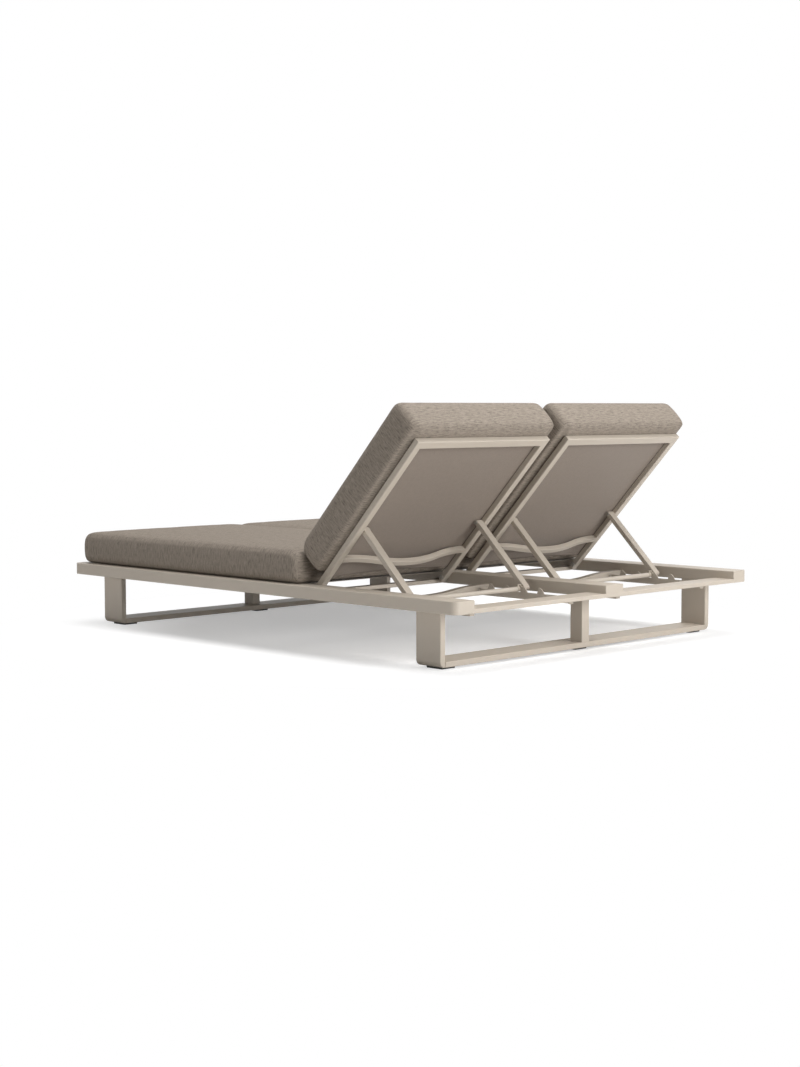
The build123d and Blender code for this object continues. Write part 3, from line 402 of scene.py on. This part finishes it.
def basket_weave_group():
    group = bpy.data.node_groups.new("basket_weave", "ShaderNodeTree")
    socket(group, "Yarn", "INPUT", "NodeSocketColor", SLING_COLOUR)
    socket(group, "Dark slub and gap shade", "INPUT", "NodeSocketColor", SLING_DARK_SLUB_AND_GAP_SHADE)
    socket(group, "Threads per metre", "INPUT", "NodeSocketFloat", SLING_THREADS)
    socket(group, "Colour", "OUTPUT", "NodeSocketColor")
    socket(group, "Roughness", "OUTPUT", "NodeSocketFloat")
    socket(group, "Height", "OUTPUT", "NodeSocketFloat")
    nodes = group.nodes
    links = group.links
    given = nodes.new("NodeGroupInput")
    result = nodes.new("NodeGroupOutput")
    place = nodes.new("ShaderNodeTexCoord")
    heights = []
    for direction in ("X", "Y"):
        wave = nodes.new("ShaderNodeTexWave")
        wave.bands_direction = direction
        wave.inputs["Distortion"].default_value = SLING_WAVER
        wave.inputs["Detail"].default_value = YARN_DETAIL
        ratio = nodes.new("ShaderNodeMath")
        ratio.operation = "DIVIDE"
        ratio.inputs[1].default_value = THREADS_PER_WAVE
        links.new(given.outputs["Threads per metre"], ratio.inputs[0])
        links.new(ratio.outputs[0], wave.inputs["Scale"])
        links.new(place.outputs["UV"], wave.inputs["Vector"])
        heights.append(wave.outputs["Fac"])
    higher = nodes.new("ShaderNodeMath")
    higher.operation = "MAXIMUM"
    links.new(heights[0], higher.inputs[0])
    links.new(heights[1], higher.inputs[1])
    links.new(higher.outputs[0], result.inputs["Height"])
    slub = nodes.new("ShaderNodeTexNoise")
    slub.inputs["Scale"].default_value = SLING_SLUB
    slub.inputs["Detail"].default_value = SLING_SLUB_DETAIL
    links.new(place.outputs["UV"], slub.inputs["Vector"])
    # Colour mix: random slub tone, plus painted shade in the gaps between the yarns.
    shade = nodes.new("ShaderNodeMath")
    shade.operation = "MULTIPLY_ADD"
    shade.inputs[1].default_value = SLING_SLUB_SHARE
    links.new(slub.outputs["Fac"], shade.inputs[0])
    # Painted gap shade: the colour darkens where the weave's height is low, between the yarns.
    low = nodes.new("ShaderNodeMapRange")
    low.inputs["To Min"].default_value = SLING_GAP_SHADE_SHARE
    low.inputs["To Max"].default_value = 0.0
    links.new(higher.outputs[0], low.inputs["Value"])
    links.new(low.outputs["Result"], shade.inputs[2])
    tone = nodes.new("ShaderNodeMix")
    tone.data_type = "RGBA"
    links.new(shade.outputs[0], tone.inputs[MIX_SHARE])
    links.new(given.outputs["Yarn"], tone.inputs[MIX_FIRST])
    links.new(given.outputs["Dark slub and gap shade"], tone.inputs[MIX_SECOND])
    links.new(tone.outputs[MIX_COLOUR], result.inputs["Colour"])
    dull = nodes.new("ShaderNodeMapRange")
    dull.inputs["To Min"].default_value = SLING_DULL
    dull.inputs["To Max"].default_value = SLING_BRIGHT
    links.new(higher.outputs[0], dull.inputs["Value"])
    links.new(dull.outputs["Result"], result.inputs["Roughness"])
    return group


def arch_rise(arch, across):
    return arch * ARCH_FACTOR * across * (1.0 - across)


def stretched_sheet(name, low_x, high_x, low_y, high_y, level, thickness, arch):
    form = bmesh.new()
    threads = form.loops.layers.uv.new("threads")
    bmesh.ops.create_grid(form, x_segments=SHEET_ACROSS, y_segments=SHEET_ALONG, size=0.5)
    for point in form.verts:
        across = point.co.x + 0.5
        along = point.co.y + 0.5
        foot = low_y + arch_rise(arch, across)
        point.co = Vector((low_x + across * (high_x - low_x), foot + along * (high_y - foot), level))
    for face in form.faces:
        for corner in face.loops:
            corner[threads].uv = (corner.vert.co.x, corner.vert.co.y)
    bmesh.ops.recalc_face_normals(form, faces=form.faces)
    mesh = bpy.data.meshes.new(name)
    form.to_mesh(mesh)
    form.free()
    piece = bpy.data.objects.new(name, mesh)
    scene.collection.objects.link(piece)
    wall = piece.modifiers.new("cloth_thickness", "SOLIDIFY")
    wall.thickness = thickness
    wall.offset = 0.0
    return piece


def welt(name, points, radius):
    form = bmesh.new()
    ends = [Vector(point) for point in points]
    first = bmesh.ops.create_circle(form, cap_ends=False, radius=radius, segments=WELT_SIDES)["verts"]
    heading = (ends[1] - ends[0]).to_track_quat("Z", "Y").to_matrix().to_4x4()
    bmesh.ops.transform(form, matrix=Matrix.Translation(ends[0]) @ heading, verts=first)
    ring = [edge for edge in form.edges]
    bmesh.ops.contextual_create(form, geom=ring)
    for step in range(1, len(ends)):
        made = bmesh.ops.extrude_edge_only(form, edges=ring)["geom"]
        moved = [part for part in made if isinstance(part, bmesh.types.BMVert)]
        bmesh.ops.translate(form, vec=ends[step] - ends[step - 1], verts=moved)
        ring = [part for part in made if isinstance(part, bmesh.types.BMEdge)]
        ring = [edge for edge in ring if all(vert in moved for vert in edge.verts)]
    bmesh.ops.contextual_create(form, geom=ring)
    bmesh.ops.recalc_face_normals(form, faces=form.faces)
    for face in form.faces:
        face.smooth = len(face.verts) == 4
    mesh = bpy.data.meshes.new(name)
    form.to_mesh(mesh)
    form.free()
    piece = bpy.data.objects.new(name, mesh)
    scene.collection.objects.link(piece)
    return piece


basket_weave = basket_weave_group()
sling_cloth = coated_material(
    "taupe_sling", basket_weave, {}, SLING_BUMP, SLING_RELIEF, Sheen_Weight=SLING_SHEEN
)
welt_cloth = coated_material(
    "sling_welt",
    basket_weave,
    {"Yarn": WELT_COLOUR, "Threads per metre": WELT_THREADS},
    WELT_BUMP,
    WELT_RELIEF,
)
for hand, turn in (("left", 1.0), ("right", -1.0)):
    facing = Matrix.Diagonal((turn, 1.0, 1.0, 1.0))
    back_sling = stretched_sheet(
        f"back_sling_{hand}",
        SLING_INNER,
        SLING_OUTER,
        SLING_FOOT,
        SLING_HEAD,
        SLING_LEVEL,
        SLING_THICKNESS,
        SLING_ARCH,
    )
    side_x = (SLING_INNER + WELT_RADIUS, SLING_OUTER - WELT_RADIUS)
    lower = SLING_LEVEL - SLING_THICKNESS / 2 - WELT_RADIUS
    head_y = SLING_HEAD - WELT_RADIUS
    strips = [
        welt(f"back_welt_{hand}_{place}", [(x, SLING_FOOT, lower), (x, head_y, lower)], WELT_RADIUS)
        for place, x in zip(("inner", "outer"), side_x)
    ]
    strips.append(
        welt(f"back_welt_{hand}_head", [(side_x[0], head_y, lower), (side_x[1], head_y, lower)], WELT_RADIUS)
    )
    hem = []
    for step in range(HEM_STEPS + 1):
        across = step / HEM_STEPS
        x = SLING_INNER + across * (SLING_OUTER - SLING_INNER)
        y = SLING_FOOT + arch_rise(SLING_ARCH, across)
        hem.append((x, y + HEM_RADIUS, SLING_LEVEL - HEM_DROP))
    strips.append(welt(f"back_hem_{hand}", hem, HEM_RADIUS))
    for piece in [back_sling] + strips:
        piece.data.transform(facing @ raised)
        if turn < 0:
            piece.data.flip_normals()
        piece.data.materials.append(sling_cloth if piece is back_sling else welt_cloth)
        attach(piece, f"backrest_{hand}")
    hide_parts(f"back_{hand}_sling")
    seat_sling = stretched_sheet(
        f"seat_sling_cloth_{hand}",
        SEAT_SLING_INNER,
        SEAT_SLING_OUTER,
        SEAT_SLING_FOOT,
        SEAT_SLING_HEAD,
        SEAT_SLING_LEVEL,
        SEAT_SLING_THICKNESS,
        0.0,
    )
    seat_sling.data.transform(facing)
    if turn < 0:
        seat_sling.data.flip_normals()
    seat_sling.data.materials.append(sling_cloth)
    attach(seat_sling, "platform")
    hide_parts(f"seat_sling_{hand}")

# The seat cushions: a foam slab in a sewn cover of melange outdoor cloth, with
# soft rounded edges, a low crown and no welts. The cloth's slubs run across
# the bed and down its long sides. Each lies loose on its sling and rails.
SEAT_CUSHION_INNER = 0.0016
SEAT_CUSHION_OUTER = 0.757
SEAT_CUSHION_FOOT = -0.986
SEAT_CUSHION_HEAD = 0.251
SEAT_CUSHION_BOTTOM = 0.231
SEAT_CUSHION_EDGE = 0.3455
SEAT_CUSHION_CROWN = 0.3530
CROWN_ACROSS = 2.6
CROWN_ALONG = 5.0
SIDE_BULGE = 0.004
BULGE_FROM_X = 0.9
BULGE_FROM_Y = 0.95
SOFT_EDGE = 0.028
UNDER_EDGE = 0.020
MEETING_EDGE = 0.045
EDGE_STEPS = 6
UNDER_STEPS = 4
SHARP = math.radians(40.0)
SAME_PLACE = 1e-6
VOXEL = 0.010
PRESSURE = 4.0
CLOTH_QUALITY = 5
CLOTH_MASS = 0.3
CLOTH_STRETCH = 12.0
CLOTH_SHEAR = 4.0
CLOTH_BEND = 0.6
CLOTH_STEPS = 20
CLOTH_REACH = 0.010
CLOTH_RISE = 0.35
CLOTH_SPREAD = 0.3
CLOTH_BUMP = 0.5
CLOTH_RELIEF = 0.0006
CLOTH_SPECULAR = 0.15
CLOTH_SHEEN = 0.03
CLOTH_DULL = 0.86
CLOTH_BRIGHT = 0.74
END_THREADS = 5.0
THREAD_LIGHT = (0.316, 0.270, 0.224, 1.0)
THREAD_MID = (0.193, 0.162, 0.131, 1.0)
THREAD_DARK = (0.066, 0.055, 0.044, 1.0)
THREAD_WAVES = 190.0
THREAD_WAVER = 1.2
SLUB_STREAKS = (36.0, 240.0, 4.0)
FLECK_STREAKS = (150.0, 560.0, 2.0)
DARK_STREAKS = (44.0, 270.0, 2.0)
SLUB_RANGE = (0.28, 0.72)
DARK_RANGE = (0.55, 0.86)
FLECK_SHARE = 0.35
SLUB_HEIGHT = 1.6


def melange_group():
    group = bpy.data.node_groups.new("melange_cloth", "ShaderNodeTree")
    socket(group, "Light thread", "INPUT", "NodeSocketColor", THREAD_LIGHT)
    socket(group, "Middle thread", "INPUT", "NodeSocketColor", THREAD_MID)
    socket(group, "Dark thread", "INPUT", "NodeSocketColor", THREAD_DARK)
    socket(group, "Colour", "OUTPUT", "NodeSocketColor")
    socket(group, "Roughness", "OUTPUT", "NodeSocketFloat")
    socket(group, "Height", "OUTPUT", "NodeSocketFloat")
    nodes = group.nodes
    links = group.links
    given = nodes.new("NodeGroupInput")
    result = nodes.new("NodeGroupOutput")
    place = nodes.new("ShaderNodeTexCoord")

    def streaks(scale_u, scale_v, detail):
        stretch = nodes.new("ShaderNodeMapping")
        stretch.inputs["Scale"].default_value = (scale_u, scale_v, 1.0)
        links.new(place.outputs["UV"], stretch.inputs["Vector"])
        noise = nodes.new("ShaderNodeTexNoise")
        noise.inputs["Scale"].default_value = 1.0
        noise.inputs["Detail"].default_value = detail
        links.new(stretch.outputs["Vector"], noise.inputs["Vector"])
        return noise.outputs["Fac"]

    def spread(value, low, high):
        span = nodes.new("ShaderNodeMapRange")
        span.inputs["From Min"].default_value = low
        span.inputs["From Max"].default_value = high
        links.new(value, span.inputs["Value"])
        return span.outputs["Result"]

    slub = streaks(*SLUB_STREAKS)
    fleck = streaks(*FLECK_STREAKS)
    dark = streaks(*DARK_STREAKS)
    first = nodes.new("ShaderNodeMix")
    first.data_type = "RGBA"
    links.new(spread(slub, *SLUB_RANGE), first.inputs[MIX_SHARE])
    links.new(given.outputs["Middle thread"], first.inputs[MIX_FIRST])
    links.new(given.outputs["Light thread"], first.inputs[MIX_SECOND])
    second = nodes.new("ShaderNodeMix")
    second.data_type = "RGBA"
    links.new(spread(dark, *DARK_RANGE), second.inputs[MIX_SHARE])
    links.new(first.outputs[MIX_COLOUR], second.inputs[MIX_FIRST])
    links.new(given.outputs["Dark thread"], second.inputs[MIX_SECOND])
    third = nodes.new("ShaderNodeMix")
    third.data_type = "RGBA"
    third.blend_type = "OVERLAY"
    third.inputs[MIX_SHARE].default_value = FLECK_SHARE
    links.new(second.outputs[MIX_COLOUR], third.inputs[MIX_FIRST])
    links.new(fleck, third.inputs[MIX_SECOND])
    links.new(third.outputs[MIX_COLOUR], result.inputs["Colour"])
    heights = []
    for direction in ("X", "Y"):
        wave = nodes.new("ShaderNodeTexWave")
        wave.bands_direction = direction
        wave.inputs["Scale"].default_value = THREAD_WAVES
        wave.inputs["Distortion"].default_value = THREAD_WAVER
        wave.inputs["Detail"].default_value = YARN_DETAIL
        links.new(place.outputs["UV"], wave.inputs["Vector"])
        heights.append(wave.outputs["Fac"])
    higher = nodes.new("ShaderNodeMath")
    higher.operation = "MAXIMUM"
    links.new(heights[0], higher.inputs[0])
    links.new(heights[1], higher.inputs[1])
    uneven = nodes.new("ShaderNodeMath")
    uneven.operation = "MULTIPLY_ADD"
    uneven.inputs[1].default_value = SLUB_HEIGHT
    links.new(slub, uneven.inputs[0])
    links.new(higher.outputs[0], uneven.inputs[2])
    links.new(uneven.outputs[0], result.inputs["Height"])
    dull = nodes.new("ShaderNodeMapRange")
    dull.inputs["To Min"].default_value = CLOTH_DULL
    dull.inputs["To Max"].default_value = CLOTH_BRIGHT
    links.new(slub, dull.inputs["Value"])
    links.new(dull.outputs["Result"], result.inputs["Roughness"])
    return group


def round_off(form, edges, radius, segments):
    bmesh.ops.bevel(
        form,
        geom=edges,
        offset=radius,
        segments=segments,
        profile=0.5,
        affect="EDGES",
        material=-1,
        clamp_overlap=True,
    )


def slab(low, high, meeting_y):
    form = bmesh.new()
    bmesh.ops.create_cube(form, size=1.0)
    size = Vector(high) - Vector(low)
    bmesh.ops.scale(form, vec=size, verts=form.verts)
    bmesh.ops.translate(form, vec=(Vector(high) + Vector(low)) / 2, verts=form.verts)

    def lies(edge, axis, level):
        return all(abs(point.co[axis] - level) < SAME_PLACE for point in edge.verts)

    meeting = [edge for edge in form.edges if lies(edge, 1, meeting_y) and lies(edge, 2, high[2])]
    round_off(form, meeting, MEETING_EDGE, EDGE_STEPS)
    sharp = [edge for edge in form.edges if edge.calc_face_angle() > SHARP and not lies(edge, 2, low[2])]
    round_off(form, sharp, SOFT_EDGE, EDGE_STEPS)
    round_off(form, [edge for edge in form.edges if lies(edge, 2, low[2])], UNDER_EDGE, UNDER_STEPS)
    return form


def fill_cover(name, low, high, meeting_y, crown, cap, voxel):
    form = slab(low, high, meeting_y)
    mesh = bpy.data.meshes.new(name)
    form.to_mesh(mesh)
    form.free()
    cover = bpy.data.objects.new(name, mesh)
    scene.collection.objects.link(cover)
    remesh = cover.modifiers.new("even_cloth", "REMESH")
    remesh.mode = "VOXEL"
    remesh.voxel_size = voxel
    bpy.context.view_layer.update()
    woven = bpy.data.meshes.new_from_object(cover.evaluated_get(bpy.context.evaluated_depsgraph_get()))
    cover.modifiers.clear()
    cover.data = woven
    woven.name = name
    start = [point.co.copy() for point in woven.vertices]
    middle = (Vector(low) + Vector(high)) / 2
    half = (Vector(high) - Vector(low)) / 2
    cloth = cover.modifiers.new("filling", "CLOTH")
    cloth.settings.quality = CLOTH_QUALITY
    cloth.settings.mass = CLOTH_MASS
    cloth.settings.tension_stiffness = CLOTH_STRETCH
    cloth.settings.compression_stiffness = CLOTH_STRETCH
    cloth.settings.shear_stiffness = CLOTH_SHEAR
    cloth.settings.bending_stiffness = CLOTH_BEND
    cloth.settings.use_pressure = True
    cloth.settings.uniform_pressure_force = PRESSURE
    cloth.settings.effector_weights.gravity = 0.0
    cloth.collision_settings.use_collision = False
    for step in range(1, CLOTH_STEPS + 1):
        scene.frame_set(step)
    blown = bpy.data.meshes.new_from_object(cover.evaluated_get(bpy.context.evaluated_depsgraph_get()))
    settled = [point.co.copy() for point in blown.vertices]
    cover.modifiers.clear()
    bpy.data.meshes.remove(blown)
    scene.frame_set(1)
    for point, before, after in zip(woven.vertices, start, settled):
        moved = after - before
        if moved.length > cap:
            moved = moved * (cap / moved.length)
        moved.z = max(moved.z, 0.0) if before.z > middle.z else 0.0
        reach_x = abs(before.x - middle.x) / half.x
        reach_y = abs(before.y - middle.y) / half.y
        rise = max(0.0, (before.z - low[2]) / (high[2] - low[2]))
        crowned_x = 1.0 - min(1.0, reach_x) ** CROWN_ACROSS
        crowned_y = 1.0 - min(1.0, reach_y) ** CROWN_ALONG
        lift = crown * crowned_x * crowned_y * rise
        swell = SIDE_BULGE * math.sin(math.pi * min(1.0, rise))
        bulge_x = swell * (before.x - middle.x) / half.x if reach_x > BULGE_FROM_X else 0.0
        bulge_y = swell * (before.y - middle.y) / half.y if reach_y > BULGE_FROM_Y else 0.0
        place = before.copy()
        place.z += lift + CLOTH_RISE * moved.z
        place.x += bulge_x + CLOTH_SPREAD * moved.x
        place.y += bulge_y + CLOTH_SPREAD * moved.y
        point.co = place
    return cover


def lay_threads(mesh, edge_x, edge_z):
    form = bmesh.new()
    form.from_mesh(mesh)
    threads = form.loops.layers.uv.new("threads")
    for face in form.faces:
        face.smooth = True
        facing = face.normal
        steep = abs(facing.y) > max(abs(facing.x), abs(facing.z))
        sideways = abs(facing.x) > abs(facing.z)
        for corner in face.loops:
            spot = corner.vert.co
            if steep:
                corner[threads].uv = (spot.x, spot.z + END_THREADS)
            elif sideways:
                corner[threads].uv = (edge_x + (edge_z - spot.z) * (1.0 if facing.x > 0 else -1.0), spot.y)
            else:
                corner[threads].uv = (spot.x, spot.y)
    form.to_mesh(mesh)
    form.free()


def mirrored_cover(cover, name):
    mesh = cover.data.copy()
    mesh.name = name
    mesh.transform(Matrix.Diagonal((-1.0, 1.0, 1.0, 1.0)))
    mesh.flip_normals()
    twin = bpy.data.objects.new(name, mesh)
    scene.collection.objects.link(twin)
    return twin


melange = melange_group()
cushion_cloth = coated_material(
    "melange_cloth",
    melange,
    {},
    CLOTH_BUMP,
    CLOTH_RELIEF,
    Specular_IOR_Level=CLOTH_SPECULAR,
    Sheen_Weight=CLOTH_SHEEN,
)
seat_cover = fill_cover(
    "seat_cover_left",
    (SEAT_CUSHION_INNER + SIDE_BULGE, SEAT_CUSHION_FOOT + SIDE_BULGE, SEAT_CUSHION_BOTTOM),
    (SEAT_CUSHION_OUTER - SIDE_BULGE, SEAT_CUSHION_HEAD - SIDE_BULGE, SEAT_CUSHION_EDGE),
    SEAT_CUSHION_HEAD - SIDE_BULGE,
    SEAT_CUSHION_CROWN - SEAT_CUSHION_EDGE,
    CLOTH_REACH,
    VOXEL,
)
lay_threads(seat_cover.data, SEAT_CUSHION_OUTER, SEAT_CUSHION_EDGE)
seat_covers = {"left": seat_cover, "right": mirrored_cover(seat_cover, "seat_cover_right")}
for hand, cover in seat_covers.items():
    smooth = cover.modifiers.new("soft_surface", "SUBSURF")
    smooth.levels = 1
    smooth.render_levels = 1
    cover.data.materials.clear()
    cover.data.materials.append(cushion_cloth)
    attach(cover, "platform")
    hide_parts(f"seat_cushion_{hand}")

# The back cushions: the same cloth and filling, loose on the slings, standing
# over the top tubes and sunk a little into the bays between the rails. Their
# soft lower ends are drawn a little further down, towards the seat cushions.
BACK_CUSHION_INNER = 0.014
BACK_CUSHION_OUTER = 0.724
BACK_CUSHION_FOOT = 0.0736
PRESSED = 0.018
BACK_CUSHION_HEAD = 0.746
BACK_CUSHION_REAR = 0.0112
BACK_CUSHION_EDGE = 0.1425
BACK_CUSHION_FRONT = 0.1485
MARGIN_REAR = 0.0205
MARGIN_INNER = 0.0480
MARGIN_OUTER = 0.6900
MARGIN_BLEND = 0.004

back_cover = fill_cover(
    "back_cover_left",
    (BACK_CUSHION_INNER + SIDE_BULGE, BACK_CUSHION_FOOT - PRESSED + SIDE_BULGE, BACK_CUSHION_REAR),
    (BACK_CUSHION_OUTER - SIDE_BULGE, BACK_CUSHION_HEAD - SIDE_BULGE, BACK_CUSHION_EDGE),
    BACK_CUSHION_FOOT - PRESSED + SIDE_BULGE,
    BACK_CUSHION_FRONT - BACK_CUSHION_EDGE,
    CLOTH_REACH,
    VOXEL,
)
for point in back_cover.data.vertices:
    beside = max(MARGIN_INNER - point.co.x, point.co.x - MARGIN_OUTER)
    share = min(1.0, max(0.0, beside / MARGIN_BLEND + 1.0))
    point.co.z = max(point.co.z, BACK_CUSHION_REAR + share * (MARGIN_REAR - BACK_CUSHION_REAR))
lay_threads(back_cover.data, BACK_CUSHION_OUTER, BACK_CUSHION_EDGE)
back_cover.data.transform(raised)
back_covers = {"left": back_cover, "right": mirrored_cover(back_cover, "back_cover_right")}
for hand, cover in back_covers.items():
    smooth = cover.modifiers.new("soft_surface", "SUBSURF")
    smooth.levels = 1
    smooth.render_levels = 1
    cover.data.materials.clear()
    cover.data.materials.append(cushion_cloth)
    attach(cover, f"back_cushion_{hand}")
    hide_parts(f"back_cushion_{hand}")
    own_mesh(cover)
